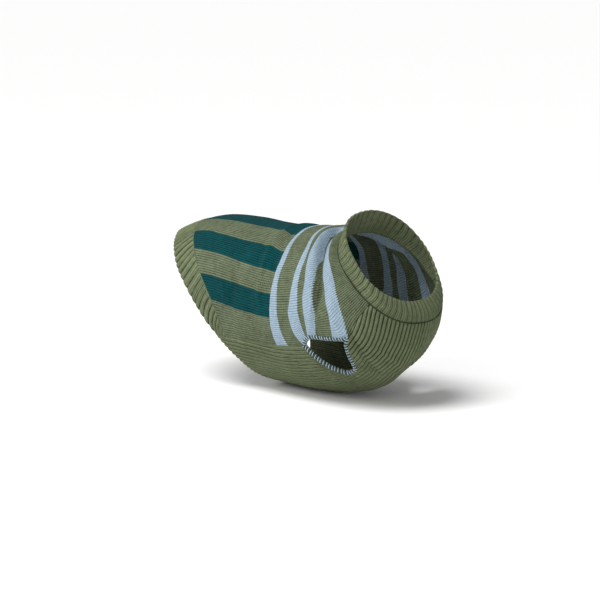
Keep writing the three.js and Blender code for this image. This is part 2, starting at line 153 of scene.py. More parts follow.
class ClothTube:
    def __init__(self, rings, foldRows, creaseRows=()):
        self.rings = np.array(rings, float)
        self.last = len(rings) - 1
        self.folds = [dict(zip(foldColumns, row)) for row in foldRows]
        self.creases = [dict(zip(creaseColumns, row)) for row in creaseRows]
        angles, ringPlaces = np.linspace(0, 180, 91), np.linspace(0, self.last, self.last * 20 + 1)
        grid = self.smooth(angles[None, :], ringPlaces[:, None])
        round_ = np.linalg.norm(np.diff(grid, axis=1), axis=-1)
        along = np.linalg.norm(np.diff(grid, axis=0), axis=-1)
        self.arcs = np.concatenate([np.zeros((len(ringPlaces), 1)), np.cumsum(round_, axis=1)], axis=1)
        self.lengths = np.concatenate([np.zeros((1, 91)), np.cumsum(along, axis=0)], axis=0)

    def section(self, ring):
        ring = np.asarray(ring, float)
        i = np.clip(np.floor(ring).astype(int), 0, self.last - 1)
        f = (ring - i)[..., None]
        rows, last = self.rings, self.last
        a = np.where((i > 0)[..., None], rows[np.maximum(i - 1, 0)], 2 * rows[0] - rows[1])
        b, c = rows[i], rows[i + 1]
        d = np.where((i + 2 <= last)[..., None], rows[np.minimum(i + 2, last)], 2 * rows[last] - rows[last - 1])
        return 0.5 * (2 * b + (c - a) * f + (2 * a - 5 * b + 4 * c - d) * f**2 + (3 * b - a - 3 * c + d) * f**3)

    def smooth(self, angle, ring):
        angle, ring = np.broadcast_arrays(np.asarray(angle, float), np.asarray(ring, float))
        backY, backZ, bellyY, bellyZ, halfWidth, keel = np.moveaxis(self.section(ring), -1, 0)
        side, up = np.sin(np.radians(angle)), np.cos(np.radians(angle))
        p = cloth["squareness"]
        reach = (np.abs(side)**p + np.abs(up)**p)**(-1 / p)
        narrowing = 1 - keel * np.maximum(-up, 0)**cloth["keelSharpness"]
        share = 0.5 + 0.5 * reach * up
        return np.stack([halfWidth * reach * side * narrowing,
                         bellyY + (backY - bellyY) * share,
                         bellyZ + (backZ - bellyZ) * share], -1)

    def tableRow(self, table, ring):
        place = np.clip(np.asarray(ring, float) * 20, 0, len(table) - 1.001)
        i = np.floor(place).astype(int)
        f = (place - i)[..., None]
        return table[i] * (1 - f) + table[i + 1] * f

    def fromTable(self, table, angle, ring):
        row = self.tableRow(table, ring)
        place = np.clip(np.abs(angle) / 2, 0, 90 - 1e-9)
        k = np.floor(place).astype(int)
        low = np.take_along_axis(row, k[..., None], -1)[..., 0]
        high = np.take_along_axis(row, k[..., None] + 1, -1)[..., 0]
        return low + (high - low) * (place - k)

    def arcAt(self, angle, ring):
        angle, ring = np.broadcast_arrays(np.asarray(angle, float), np.asarray(ring, float))
        return np.sign(angle) * self.fromTable(self.arcs, angle, ring)

    def lengthAt(self, angle, ring):
        angle, ring = np.broadcast_arrays(np.asarray(angle, float), np.asarray(ring, float))
        return self.fromTable(self.lengths, angle, ring)

    def angleAt(self, arc, ring):
        arc, ring = np.broadcast_arrays(np.asarray(arc, float), np.asarray(ring, float))
        row = self.tableRow(self.arcs, ring)
        length = np.minimum(np.abs(arc), row[..., -1])
        k = np.clip((row < length[..., None]).sum(-1) - 1, 0, 89)
        low = np.take_along_axis(row, k[..., None], -1)[..., 0]
        high = np.take_along_axis(row, k[..., None] + 1, -1)[..., 0]
        return np.sign(arc) * (k + (length - low) / (high - low)) * 2

    def halfGirth(self, ring):
        return self.tableRow(self.arcs, ring)[..., -1]

    def perRing(self, angle, ring):
        step = cloth["ringStep"]
        low = np.clip(ring, step, self.last - step)
        return np.linalg.norm(self.smooth(angle, low + step) - self.smooth(angle, low - step), axis=-1) / (2 * step)

    def depthOf(self, fold, angle, ring, perRing):
        size = np.abs(angle)
        middle = np.clip((size - fold["from"]) / (fold["to"] - fold["from"]), -0.3, 1.3)
        bend = 2 * (fold["ringFrom"] + fold["ringTo"] - 2 * fold["ringMiddle"])
        path = fold["ringFrom"] + (fold["ringTo"] - fold["ringFrom"]) * middle - bend * middle * (1 - middle)
        away = (ring - path) * perRing / (fold["width"] / 2)
        past = np.maximum(np.maximum(fold["from"] - size, size - fold["to"]), 0) / (fold["fade"] / 2)
        return fold["depth"] * np.exp(-away**2 - past**2)

    def foldDepth(self, angle, ring, fine):
        angle, ring = np.broadcast_arrays(np.asarray(angle, float), np.asarray(ring, float))
        perRing = self.perRing(angle, ring)
        depth = sum((self.depthOf(fold, angle, ring, perRing) for fold in self.folds), np.zeros(angle.shape))
        if fine:
            for crease in self.creases:
                onSide = np.clip(0.5 + angle * crease["side"] / 6, 0, 1)
                depth = depth + onSide * self.depthOf(crease, angle, ring, perRing)
        return depth * np.clip((self.last - ring) / 0.35, 0, 1)

    def normalOf(self, angle, ring, pointAt):
        low = np.clip(ring - cloth["ringStep"], 0, self.last)
        high = np.clip(ring + cloth["ringStep"], 0, self.last)
        along = pointAt(angle, high) - pointAt(angle, low)
        round_ = pointAt(angle + cloth["angleStep"], ring) - pointAt(angle - cloth["angleStep"], ring)
        normal = np.cross(along, round_)
        return normal / np.linalg.norm(normal, axis=-1, keepdims=True)

    def face(self, angle, ring, fine=True):
        point = self.smooth(angle, ring)
        depth = self.foldDepth(angle, ring, fine)
        return point - self.normalOf(angle, ring, self.smooth) * depth[..., None]

    def faceNormal(self, angle, ring, fine=True):
        return self.normalOf(angle, ring, lambda a, r: self.face(a, r, fine))


body = ClothTube(bodyRings, folds, creases)
collarTube = ClothTube(collarRings, [])
neckRing = body.last


def neckSeamNormal(angle):  # both walls share it at the neck seam
    under = body.faceNormal(angle, np.full_like(angle, neckRing), False)
    over = collarTube.faceNormal(angle, np.zeros_like(angle))
    total = under + over
    return total / (0.5 * (total * total).sum(-1, keepdims=True))


zero = np.zeros(1)
heldPoint = (body.face(zero, zero + 5, False) - cloth["wall"] * body.faceNormal(zero, zero + 5, False))[0]


def bodySkin(angle, ring, lift):
    nearSeam = np.clip((ring - (neckRing - 0.06)) / 0.05, 0, 1)[..., None]
    normal = body.faceNormal(angle, ring) * (1 - nearSeam) + neckSeamNormal(angle) * nearSeam
    return body.face(angle, ring) + normal * lift[..., None] - heldPoint


def collarSkin(angle, ring, lift):
    nearSeam = np.clip((0.12 - ring) / 0.1, 0, 1)[..., None]
    normal = collarTube.faceNormal(angle, ring) * (1 - nearSeam) + neckSeamNormal(angle) * nearSeam
    return collarTube.face(angle, ring) + normal * lift[..., None] - heldPoint


def ringsOfGap(angle, ring):
    return cloth["seamGap"] / 2 / body.perRing(angle, ring)


def neckEnd(angle):
    return neckRing - ringsOfGap(angle, np.full_like(angle, neckRing))


sideAngle = float(readTable(backSideEdge, 2.95))

stripes = {
    "wales": [0, 10, 21, 31, 41, 50.5, 64],  # the lengthwise stripes' edges, from the spine to the side seam
    "cross": [0, 100, 107.5, 120.5, 129, 134.5, 146.5, 158.5, 170.5, 184.5],  # mm at mid side, from the hem band
    "courseHeight": 2.1,
    "tooth": 0.9,  # how far the stitches step at a cross stripe's front edge, in mm
}
lengthwiseEdges = [  # ring, angle of each edge
    [[2, 17], [4.3, 17.3], [4.9, 19], [5.5, 23.5], [6.1, 27.5], [9, 27]],
    [[2, 35.5], [2.5, 35], [3.15, 37], [4.6, 38.5], [5.1, 40], [5.7, 44], [9, 45]],
    [[2, 52], [3.2, 53.4], [4.3, 56.4], [5, 58], [5.6, 60], [9, 60]],
    [[2.7, 70], [3.7, 71.4], [4.4, 73], [5.1, 74.8], [9, 76]],
    [[3, 87.5], [3.9, 90], [4.9, 91], [9, 92]],
]
crossAngles = [0, 20, 30, 40, 50, 60, 70, 80, 90, 100, 111, 120]
crossEdges = [  # rings of the rear and front edge of the four cross stripes at those angles
    [5.90, 5.93, 5.86, 5.75, 5.62, 5.38, 5.18, 5.07, 4.96, 4.88, 4.87, 4.87],
    [6.07, 6.08, 6.02, 5.97, 5.86, 5.61, 5.43, 5.33, 5.23, 5.20, 5.25, 5.27],
    [6.95, 7.03, 7.05, 7.00, 6.78, 6.43, 6.10, 5.83, 5.62, 5.60, 5.76, 5.85],
    [7.12, 7.22, 7.27, 7.25, 7.12, 6.76, 6.40, 6.17, 6.00, 5.97, 5.95, 5.95],
    [7.70, 7.78, 7.72, 7.66, 7.43, 7.08, 6.80, 6.44, 6.25, 6.12, 5.97, 5.96],
    [8.00, 8.10, 8.15, 8.15, 8.10, 7.75, 7.43, 7.04, 6.74, 6.48, 6.20, 6.10],
    [8.05, 8.15, 8.20, 8.20, 8.17, 8.15, 7.97, 7.82, 7.50, 7.27, 6.93, 6.70],
    [8.55, 8.57, 8.57, 8.57, 8.55, 8.52, 8.50, 8.40, 8.20, 8.00, 7.73, 7.40],
]


def between(place, stations, values):  # a straight line from station to station, point by point
    result = np.full(place.shape, float(values[-1]))
    for k in range(len(stations) - 2, -1, -1):
        low, high = stations[k], stations[k + 1]
        f = np.clip((place - low) / np.maximum(high - low, 1e-6), 0, 1)
        result = np.where(place <= high, values[k] + (values[k + 1] - values[k]) * f, result)
    return result


def stripePlace(angle, ring, startRing):  # wale from the spine, and cross stripe number
    size = np.abs(angle)
    edges = [np.zeros_like(size)] + [readTable(rows, ring) for rows in lengthwiseEdges]
    edges.append(np.maximum(readTable(backSideEdge, ring), edges[-1] + 2))
    wale = between(size, edges, stripes["wales"])
    crossStations = [startRing] + [readTable(np.column_stack([crossAngles, row]), size) for row in crossEdges]
    crossStations.append(np.full_like(size, float(neckRing)))
    number = between(ring, crossStations, stripes["cross"])
    course = (body.lengthAt(size, ring) - body.lengthAt(size, crossStations[1])) / stripes["courseHeight"]
    return wale * np.sign(angle), number, course


def clothPiece(name, columns, rows, placeAt, material, closed=False, facesOut=False):
    bm = bmesh.new()
    insideLayer = bm.verts.layers.float_vector.new("inside")
    rimLayer = bm.edges.layers.float.new("bevel_weight_edge")
    knitLayer = bm.loops.layers.uv.new("knitPlace")
    stripeLayer = bm.loops.layers.uv.new("stripePlace")
    bmesh.ops.create_grid(bm, x_segments=columns, y_segments=rows, size=0.5, calc_uvs=True)
    bm.verts.ensure_lookup_table()
    flat = np.array([vert.co[:2] for vert in bm.verts]) + 0.5
    outside, inside, knitPlaces, stripePlaces = placeAt(flat[:, 0], flat[:, 1])
    for vert, outer, inner in zip(bm.verts, outside * 0.001, inside * 0.001):
        vert.co = outer
        vert[insideLayer] = inner
    for face in bm.faces:
        for loop in face.loops:
            loop[knitLayer].uv = knitPlaces[loop.vert.index]
            loop[stripeLayer].uv = stripePlaces[loop.vert.index]
    if not facesOut:
        bmesh.ops.reverse_faces(bm, faces=bm.faces)
    if closed:
        bmesh.ops.remove_doubles(bm, verts=bm.verts, dist=2e-5)
    for edge in bm.edges:
        edge[rimLayer] = float(edge.is_boundary)
    made = bmesh.ops.solidify(bm, geom=bm.faces[:], thickness=cloth["wall"] * 0.001)["geom"]
    underside = {vert for face in made if isinstance(face, bmesh.types.BMFace) for vert in face.verts}
    for vert in underside:  # the inside is plain under the ribs
        vert.co = vert[insideLayer]
    for face in bm.faces:
        face.smooth = True
    bm.verts.layers.float_vector.remove(insideLayer)
    mesh = bpy.data.meshes.new(name)
    bm.to_mesh(mesh)
    bm.free()
    piece = bpy.data.objects.new(name, mesh)
    bpy.context.collection.objects.link(piece)
    mesh.materials.append(material)
    rounding = piece.modifiers.new("edge", "BEVEL")
    rounding.width = cloth["rimRounding"] * 0.001
    rounding.segments = cloth["rimSteps"]
    rounding.limit_method = "WEIGHT"
    return piece


def ribProfile(turns):  # 1 on the ribs, 0 in the narrow furrows between them
    wave = 0.5 + 0.5 * np.cos(2 * np.pi * turns)
    return 1 - (1 - wave)**2.2


def edgeDip(distance, reach, deep):  # cloth drawn down where it is sewn
    return -deep * np.exp(-(distance / reach)**2)


def unevenness(angle, ring, phase):  # slight hand of the cloth
    return (0.18 * np.sin(angle / 9 + 2.1 * ring + phase) * np.sin(1.7 * ring - angle / 23 + 2 * phase)
            + 0.12 * np.sin(angle / 4.3 - 3.3 * ring + 1.3 * phase))


# the FurrowShade colours and paleBlueShade are painted shade, laid into the furrows between wales and ribs
yarns = {
    "moss": (0.182, 0.219, 0.131),
    "mossFurrowShade": (0.006, 0.008, 0.004),
    "mossRib": (0.168, 0.200, 0.110),
    "mossRibFurrowShade": (0.006, 0.008, 0.004),
    "teal": (0.0005, 0.074, 0.079),
    "tealFurrowShade": (0.0002, 0.006, 0.008),
    "paleBlue": (0.380, 0.493, 0.585),
    "paleBlueShade": (0.130, 0.180, 0.235),
    # the PlyShade colours, and paleBlueShade on the blue yarn, are painted shade for the grooves between a yarn's
    # plies
    "darkGreen": (0.055, 0.072, 0.042),
    "darkGreenPlyShade": (0.022, 0.030, 0.018),
    "seamMoss": (0.13, 0.162, 0.088),
    "seamMossPlyShade": (0.04, 0.052, 0.026),
    # the neck seam's strand is painted near black: painted shade standing for the shade in the seam's groove
    "paintedNeckSeamShade": (0.034, 0.043, 0.023),
    "paintedNeckSeamShadeDark": (0.012, 0.016, 0.008),
}
knitLook = {"roughness": 0.93, "specular": 0.08, "sheen": 0.02, "sheenRoughness": 0.5, "bump": 0.9}
yarnLook = {"roughness": 0.9, "specular": 0.2, "bump": 0.8, "bumpDepth": 0.0002}


class Nodes:
    def __init__(self, name):
        self.material = bpy.data.materials.new(name)
        self.material.use_nodes = True
        self.tree = self.material.node_tree
        self.tree.nodes.clear()
        self.output = self.add("ShaderNodeOutputMaterial")

    def add(self, kind, **settings):
        node = self.tree.nodes.new(kind)
        for key, value in settings.items():
            setattr(node, key, value)
        return node

    def join(self, source, socket):
        if isinstance(source, (int, float)):
            socket.default_value = source
        elif isinstance(source, tuple):
            socket.default_value = (*source, 1)
        else:
            self.tree.links.new(source, socket)

    def math(self, operation, *values):
        node = self.add("ShaderNodeMath", operation=operation)
        for value, socket in zip(values, node.inputs):
            self.join(value, socket)
        return node.outputs[0]

    def within(self, first, low, second, high):
        above = self.math("GREATER_THAN", first, float(low))
        below = self.math("LESS_THAN", second, float(high))
        return self.math("MULTIPLY", above, below)

    def blend(self, factor, first, second):
        node = self.add("ShaderNodeMix", data_type="RGBA")
        self.join(factor, node.inputs[0])
        self.join(first, node.inputs[6])
        self.join(second, node.inputs[7])
        return node.outputs[2]

    def place(self, layer):
        node = self.add("ShaderNodeUVMap", uv_map=layer)
        split = self.add("ShaderNodeSeparateXYZ")
        self.join(node.outputs[0], split.inputs[0])
        return split.outputs[0], split.outputs[1]

    def noise(self, scale, detail):
        node = self.add("ShaderNodeTexNoise")
        node.inputs["Scale"].default_value = scale
        node.inputs["Detail"].default_value = detail
        self.join(self.add("ShaderNodeTexCoord").outputs["Object"], node.inputs["Vector"])
        return node.outputs["Fac"]


def knitMaterial(name, striped, ribbed, depth):
    n = Nodes(name)
    wale, course = n.place("knitPlace")
    cloudy = n.noise(38, 3.0)
    hand = n.noise(210, 2.0)
    fibre = n.noise(1400, 2.0)
    wale = n.math("ADD", wale, n.math("MULTIPLY_ADD", hand, 0.3, -0.15))
    course = n.math("ADD", course, n.math("MULTIPLY_ADD", cloudy, 1.2, -0.6))
    # fromMiddle is 0 on a wale's middle line and 1 on the furrow between two wales
    inWale = n.math("FRACT", n.math("ADD", wale, 64.5 if ribbed else 64.0))
    fromMiddle = n.math("ABSOLUTE", n.math("MULTIPLY_ADD", inWale, 2.0, -1.0))
    leg = n.math("FRACT", n.math("ADD", n.math("MULTIPLY_ADD", fromMiddle, -0.55, course), 512.0))
    strand = n.math("SINE", n.math("MULTIPLY", leg, math.pi))
    furrow = n.math("SUBTRACT", 1.0, n.math("POWER", fromMiddle, 1.8))
    crown = n.math("MULTIPLY_ADD", n.math("SINE", n.math("MULTIPLY", fromMiddle, math.pi)), 0.3, 0.7)
    strandShare = 0.35 if ribbed else 0.58
    height = n.math("MULTIPLY", n.math("MULTIPLY", furrow, crown),
                    n.math("MULTIPLY_ADD", strand, strandShare, 1 - strandShare))
    if striped:
        across, number = n.place("stripePlace")
        size = n.math("ABSOLUTE", across)
        blunt = n.math("MULTIPLY_ADD", fromMiddle, 0.4, number)
        halfBack = n.math("ADD", number, -0.5 * stripes["tooth"])
        toothed = n.math("MULTIPLY_ADD", fromMiddle, stripes["tooth"], halfBack)
        edges, wales = stripes["cross"], stripes["wales"]
        teal = n.math("LESS_THAN", size, float(wales[1]))
        for low, high in ((wales[2], wales[3]), (wales[4], wales[5])):
            teal = n.math("ADD", teal, n.within(size, low, size, high))
        teal = n.math("MULTIPLY", teal, n.math("LESS_THAN", blunt, float(edges[1])))
        blue = 0.0
        for low, high in zip(edges[1:8:2], edges[2:9:2]):
            blue = n.math("ADD", n.within(blunt, low, toothed, high), blue)
        # dark is each yarn's painted shade colour for the furrows
        light = n.blend(blue, n.blend(teal, yarns["moss"], yarns["teal"]), yarns["paleBlue"])
        dark = n.blend(blue, n.blend(teal, yarns["mossFurrowShade"], yarns["tealFurrowShade"]), yarns["paleBlueShade"])
    else:
        light, dark = yarns["mossRib"], yarns["mossRibFurrowShade"]
    # painted shade: the stitch height darkens the colour in the furrows between wales and between strands
    furrowShadeAndTone = n.math("MULTIPLY_ADD", height, 0.85, 0.15)
    if ribbed:  # painted shade in the furrows between whole ribs; the wales' own painted shade shows least where those furrows are deep
        rib, strength = n.place("stripePlace")
        inRib = n.math("FRACT", n.math("ADD", rib, n.math("MULTIPLY_ADD", hand, 0.12, 64.44)))
        furrowShade = n.math("POWER", n.math("ABSOLUTE", n.math("MULTIPLY_ADD", inRib, 2.0, -1.0)), 2.4)
        beads = n.math("MULTIPLY_ADD", n.math("SINE", n.math("MULTIPLY", course, 2 * math.pi)), 0.12, 0.88)
        furrowShade = n.math("MULTIPLY", n.math("MULTIPLY", furrowShade, beads), strength)
        waleShare = n.math("MULTIPLY_ADD", strength, -0.55, 0.95)
        furrowShadeAndTone = n.math("SUBTRACT", 1.0, n.math("MULTIPLY", waleShare, n.math("SUBTRACT", 1.0, furrowShadeAndTone)))
        furrowShadeAndTone = n.math("MULTIPLY", furrowShadeAndTone, n.math("SUBTRACT", 1.0, furrowShade))
    # the yarn's random tone, added on top of the painted shade
    furrowShadeAndTone = n.math("ADD", furrowShadeAndTone, n.math("MULTIPLY_ADD", cloudy, 0.34, -0.17))
    furrowShadeAndTone = n.math("ADD", furrowShadeAndTone, n.math("MULTIPLY_ADD", hand, 0.46, -0.23))
    furrowShadeAndTone = n.math("ADD", furrowShadeAndTone, n.math("MULTIPLY_ADD", fibre, 0.36, -0.18))
    clamped = n.add("ShaderNodeClamp")
    n.join(furrowShadeAndTone, clamped.inputs[0])
    colour = n.blend(clamped.outputs[0], dark, light)
    bump = n.add("ShaderNodeBump")
    bump.inputs["Strength"].default_value = knitLook["bump"]
    bump.inputs["Distance"].default_value = depth
    n.join(n.math("MULTIPLY_ADD", fibre, 0.12, height), bump.inputs["Height"])
    shader = n.add("ShaderNodeBsdfPrincipled")
    n.join(colour, shader.inputs["Base Color"])
    n.join(bump.outputs[0], shader.inputs["Normal"])
    shader.inputs["Roughness"].default_value = knitLook["roughness"]
    shader.inputs["Specular IOR Level"].default_value = knitLook["specular"]
    shader.inputs["Sheen Weight"].default_value = knitLook["sheen"]
    shader.inputs["Sheen Roughness"].default_value = knitLook["sheenRoughness"]
    n.join(shader.outputs[0], n.output.inputs[0])
    return n.material


def yarnMaterial(name, light, dark):  # plied yarn, its twist read from the strand's own map; painted shade darkens the grooves between the plies
    n = Nodes(name)
    round_, along = n.place("knitPlace")
    turns = n.math("ADD", round_, n.math("MULTIPLY", along, 2.0))
    twist = n.math("SINE", n.math("MULTIPLY", turns, 2 * math.pi))
    ply = n.math("MULTIPLY_ADD", twist, 0.5, 0.5)
    fibre = n.noise(1600, 2.0)
    # painted shade: the ply grooves take the dark colour
    plyLight = n.math("MULTIPLY_ADD", ply, 0.45, 0.55)
    mixFactor = n.math("MULTIPLY", plyLight, n.math("MULTIPLY_ADD", fibre, 0.6, 0.7))
    clamped = n.add("ShaderNodeClamp")
    n.join(mixFactor, clamped.inputs[0])
    bump = n.add("ShaderNodeBump")
    bump.inputs["Strength"].default_value = yarnLook["bump"]
    bump.inputs["Distance"].default_value = yarnLook["bumpDepth"]
    n.join(ply, bump.inputs["Height"])
    shader = n.add("ShaderNodeBsdfPrincipled")
    n.join(n.blend(clamped.outputs[0], dark, light), shader.inputs["Base Color"])
    n.join(bump.outputs[0], shader.inputs["Normal"])
    shader.inputs["Roughness"].default_value = yarnLook["roughness"]
    shader.inputs["Specular IOR Level"].default_value = yarnLook["specular"]
    n.join(shader.outputs[0], n.output.inputs[0])
    return n.material


plainKnit = knitMaterial("stripedPlainKnit", True, False, 0.0007)
ribKnit = knitMaterial("mossRibKnit", False, True, 0.0005)
blueYarn = yarnMaterial("paleBlueYarn", yarns["paleBlue"], yarns["paleBlueShade"])
greenYarn = yarnMaterial("darkGreenYarn", yarns["darkGreen"], yarns["darkGreenPlyShade"])
mossYarn = yarnMaterial("mossSeamYarn", yarns["seamMoss"], yarns["seamMossPlyShade"])
# the neck seam strand's material carries painted shade, darker than the other seams' yarn
paintedNeckSeamShadeYarn = yarnMaterial("paintedNeckSeamShadeYarn", yarns["paintedNeckSeamShade"], yarns["paintedNeckSeamShadeDark"])
print("sweater: materials made")

backPanel = {"columns": 176, "rows": 150, "wall": 2.0}


def backPlace(u, v):
    round_ = 2 * u - 1

    def angleOn(at):
        edge = body.arcAt(readTable(backSideEdge, at), at) - cloth["seamGap"] / 2
        return body.angleAt(round_ * edge, at)

    start = np.full_like(u, 2.4)
    for turn in range(8):
        startAngle = angleOn(start)
        start = readTable(bandEdge, np.abs(startAngle)) + ringsOfGap(startAngle, start)
    ring, angle = np.full_like(u, 4), np.zeros_like(u)
    for turn in range(3):
        ring = start + (neckEnd(angle) - start) * v
        angle = angleOn(ring)
    return angle, ring, start


def backSurface(u, v):
    angle, ring, start = backPlace(u, v)
    edge = body.arcAt(readTable(backSideEdge, ring), ring)
    fromSide = edge - np.abs(body.arcAt(angle, ring))
    perRing = body.perRing(angle, ring)
    fromNeck = (neckRing - ring) * perRing
    lift = edgeDip(fromSide, 2.0, 0.35) + edgeDip(fromNeck, 2.0, 0.8) + unevenness(angle, ring, 0.4)
    lift = lift + edgeDip((ring - start) * perRing, 1.5, 0.2)
    wale, number, course = stripePlace(angle, ring, start)
    return (bodySkin(angle, ring, lift), bodySkin(angle, ring, lift - backPanel["wall"]),
            np.column_stack([wale, course]), np.column_stack([wale, number]))


back = clothPiece("backPanel", backPanel["columns"], backPanel["rows"], backSurface, plainKnit)
print("sweater: back panel made")

bellyPanel = {
    "columns": 352, "rows": 112, "courseHeight": 2.3, "wall": 2.0, "ribPitch": 4.8, "ribRaise": 0.9, "furrow": 0.7,
    "flankStrength": 0.42,  # ribs lie flatter behind the armholes than on the chest, and their furrows get less painted shade there
}


def bellyPlace(u, v):
    share = np.abs(2 * u - 1)
    side = np.where(u < 0.5, -1.0, 1.0)

    def reachAt(at):
        edge = body.arcAt(readTable(bellySideEdge, at), at) + cloth["seamGap"] / 2
        return share * (body.halfGirth(at) - edge)

    def angleOn(reach, at):
        return side * body.angleAt(body.halfGirth(at) - reach, at)

    ring = 3.2 + (neckRing - 3.2) * v
    start = np.full_like(u, 3.2)
    for turn in range(8):
        for again in range(3):
            start = readTable(hemEdge, np.abs(angleOn(reachAt(start), start)))
        ring = start + (neckEnd(angleOn(reachAt(ring), ring)) - start) * v
    reach = reachAt(ring)
    return angleOn(reach, ring), ring, reach, start


def bellySurface(u, v):
    angle, ring, reach, start = bellyPlace(u, v)
    edge = body.halfGirth(ring) - body.arcAt(readTable(bellySideEdge, ring), ring)
    fromNeck = (neckRing - ring) * body.perRing(angle, ring)
    turns = reach / bellyPanel["ribPitch"]
    forward = np.clip((ring - 6.1) / 1.1, 0, 1)
    # strength also sets how dark the painted shade in the rib furrows is
    strength = bellyPanel["flankStrength"] + (1 - bellyPanel["flankStrength"]) * forward**2 * (3 - 2 * forward)
    ribs = (bellyPanel["ribRaise"] + bellyPanel["furrow"]) * ribProfile(turns) - bellyPanel["furrow"]
    calm = np.clip(np.minimum(edge - reach, fromNeck) / 3, 0.25, 1) * (0.35 + 0.65 * strength)
    lift = edgeDip(edge - reach, 2.0, 0.35) + edgeDip(fromNeck, 2.0, 0.8) + unevenness(angle, ring, 1.9)
    course = body.lengthAt(angle, ring) / bellyPanel["courseHeight"]
    return (bodySkin(angle, ring, lift + ribs * calm), bodySkin(angle, ring, lift - bellyPanel["wall"]),
            np.column_stack([2 * turns + 0.5, course]), np.column_stack([turns, strength]))


belly = clothPiece("bellyPanel", bellyPanel["columns"], bellyPanel["rows"], bellySurface, ribKnit, facesOut=True)
print("sweater: belly panel made")

hemBand = {
    "ribs": 48, "walesPerRib": 3, "columnsPerWale": 5, "rows": 40, "courseHeight": 2.1, "wall": 2.15,
    "slant": 17, "slantReach": 50,  # degrees that the ribs lean towards the spine as they climb
    # strength sets how dark the painted shade in the rib furrows is
    "ribRaise": 0.75, "waleRaise": 0.3, "furrow": 0.45, "strength": 0.85,
}


def bandSlant(size):
    return hemBand["slant"] * np.tanh(size / hemBand["slantReach"])


def bandSurface(u, v):
    share = 2 * u - 1
    foot = np.abs(share) * sideAngle
    size = foot - bandSlant(foot) * v * (1 - np.abs(share)**10)
    for turn in range(8):  # where the rib through this point starts at the hem
        foot = size + bandSlant(foot) * v
    lowRing = readTable(hemEdge, size)
    highRing = readTable(bandEdge, size) - 2 * ringsOfGap(size, np.full_like(u, 2.5))
    ring = lowRing + (highRing - lowRing) * v
    atEnd = np.abs(np.abs(share) - 1) < 1e-6
    seamArc = body.arcAt(readTable(backSideEdge, ring), ring) - cloth["seamGap"] / 2
    arc = np.where(atEnd, seamArc, body.arcAt(size, ring))
    angle = np.sign(share) * body.angleAt(arc, ring)
    across = 0.5 + 0.5 * np.sign(share) * foot / sideAngle
    turns = (hemBand["ribs"] * across + 0.2 * np.sin(23 * across) + 0.13 * np.sin(61 * across + 1)
             + 0.06 * np.sin(4 * v + 37 * across))
    fromSeam = (highRing - ring) * body.perRing(angle, ring)
    fromHem = (ring - lowRing) * body.perRing(angle, ring)
    uneven = 1 + 0.3 * np.sin(31 * across + 1.2) + 0.25 * np.sin(57 * across) + 0.2 * np.sin(113 * across + 2 * v)
    strength = np.clip(hemBand["strength"] * uneven * (0.95 - 0.15 * v), 0, 1)
    ribs = (hemBand["ribRaise"] + hemBand["furrow"] * uneven) * ribProfile(turns) - hemBand["furrow"] * uneven
    ribs = ribs * (1.1 - 0.5 * v) + hemBand["waleRaise"] * (ribProfile(hemBand["walesPerRib"] * turns) - 1)
    calm = np.clip(fromSeam / 3, 0.3, 1)
    lift = edgeDip(fromSeam, 1.5, 0.2) - 0.5 * np.exp(-(fromHem / 1.6)**2) + unevenness(angle, ring, 3.1)
    course = (body.lengthAt(angle, ring) - body.lengthAt(size, lowRing)) / hemBand["courseHeight"]
    return (bodySkin(angle, ring, lift + ribs * calm), bodySkin(angle, ring, lift - hemBand["wall"]),
            np.column_stack([hemBand["walesPerRib"] * turns, course]), np.column_stack([turns, strength]))


bandColumns = hemBand["ribs"] * hemBand["walesPerRib"] * hemBand["columnsPerWale"]
band = clothPiece("hemBand", bandColumns, hemBand["rows"], bandSurface, ribKnit)
print("sweater: hem band made")

collarBand = {
    "ribs": 54, "walesPerRib": 3, "columnsPerWale": 5, "rows": 16, "courseHeight": 2.1, "wall": 2.1,
    "slant": 14,  # degrees that the ribs lean towards the throat as they climb
    # strength sets how dark the painted shade in the rib furrows is
    "ribRaise": 0.7, "waleRaise": 0.3, "furrow": 0.3, "strength": 0.5,
}


def collarSurface(u, v):
    foot = 360 * u - 180
    angle = foot + collarBand["slant"] * v * np.sin(np.radians(foot))
    start = cloth["seamGap"] / 2 / collarTube.perRing(angle, np.zeros_like(u))
    ring = start + (collarTube.last - start) * v
    turns = collarBand["ribs"] * u + 0.15 * np.sin(14 * np.pi * u) + 0.06 * np.sin(34 * np.pi * u + 3 * v)
    fromSeam = ring * collarTube.perRing(angle, ring)
    fromTop = (collarTube.last - ring) * collarTube.perRing(angle, ring)
    uneven = 1 + 0.25 * np.sin(10 * np.pi * u + 1) + 0.2 * np.sin(46 * np.pi * u)
    strength = np.clip(collarBand["strength"] * uneven * (0.5 + 0.9 * v), 0, 1)
    ribs = (collarBand["ribRaise"] + collarBand["furrow"]) * ribProfile(turns) - collarBand["furrow"]
    ribs = ribs * (0.6 + 0.4 * v) + collarBand["waleRaise"] * (ribProfile(collarBand["walesPerRib"] * turns) - 1)
    calm = np.clip(fromSeam / 3, 0.3, 1)
    lift = edgeDip(fromSeam, 2.0, 0.8) - 0.6 * np.exp(-(fromTop / 1.8)**2)
    lift = lift + 0.3 * np.sin(5 * np.radians(angle) + 0.7) + 0.2 * np.sin(9 * np.radians(angle))
    course = collarTube.lengthAt(angle, ring) / collarBand["courseHeight"]
    return (collarSkin(angle, ring, lift + ribs * calm), collarSkin(angle, ring, lift - collarBand["wall"]),
            np.column_stack([collarBand["walesPerRib"] * turns, course]), np.column_stack([turns, strength]))


collarColumns = collarBand["ribs"] * collarBand["walesPerRib"] * collarBand["columnsPerWale"]
collar = clothPiece("collarBand", collarColumns, collarBand["rows"], collarSurface, ribKnit, closed=True)
print("sweater: collar made")


